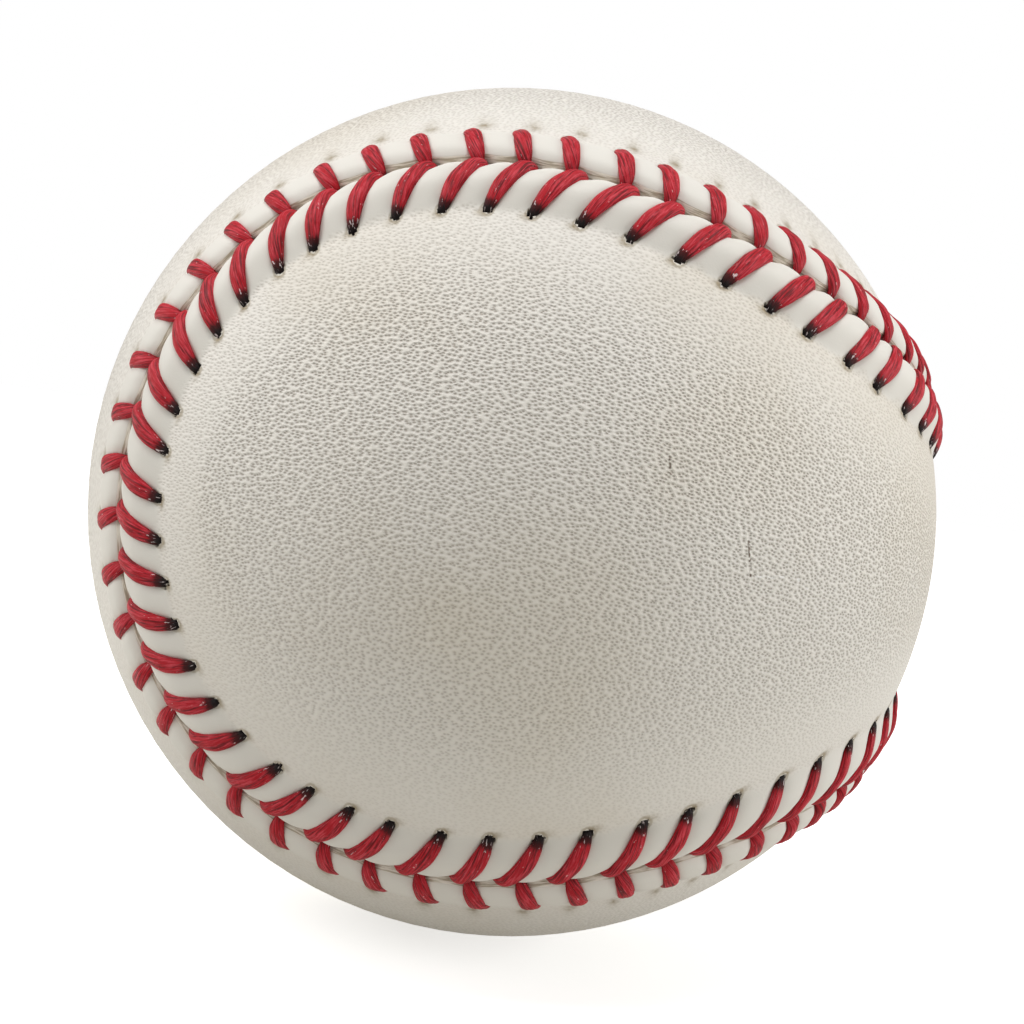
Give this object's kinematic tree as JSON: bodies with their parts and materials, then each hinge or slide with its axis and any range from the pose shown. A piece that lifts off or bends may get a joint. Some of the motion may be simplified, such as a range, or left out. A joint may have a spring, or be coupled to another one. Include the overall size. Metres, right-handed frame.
{
  "type": "baseball",
  "caption": "Leather-covered ball with two figure-eight panels laced edge to edge over a raised seam in red waxed thread, wound in wool and cotton yarn on a cushioned cork core",
  "frame": {"origin": "the centre of the ball", "axes": "+X through the narrow waist of cover panel one, +Y and -Y through that panel's two lobes, +Z and -Z through the two lobes of cover panel two"},
  "size_m": [0.074, 0.074, 0.074],
  "materials": {
    "cork": "pressed cork and rubber composition, coarse grains",
    "black_rubber": "moulded black rubber, dull",
    "red_rubber": "moulded red rubber, dull",
    "grey_wool": "wool yarn wound tight, blue-grey",
    "white_wool": "wool yarn wound tight, off-white",
    "cotton_yarn": "fine cotton yarn, wound smooth and sized",
    "leather": "alum-tanned cowhide, off-white, fine pebbled grain, soft satin",
    "red_thread": "waxed twisted cotton thread, deep red, low gloss"
  },
  "bodies": {
    "root": {"cork_core": "cork", "black_rubber_upper": "black_rubber", "black_rubber_lower": "black_rubber", "rubber_washer": "red_rubber", "red_rubber_right": "red_rubber", "red_rubber_left": "red_rubber", "grey_wool_inner": "grey_wool", "white_wool": "white_wool", "grey_wool_outer": "grey_wool", "finishing_yarn": "cotton_yarn", "cover_panel_one": "leather", "cover_panel_two": "leather", "thread_first_needle": "red_thread", "thread_second_needle": "red_thread"}
  },
  "joints": []
}
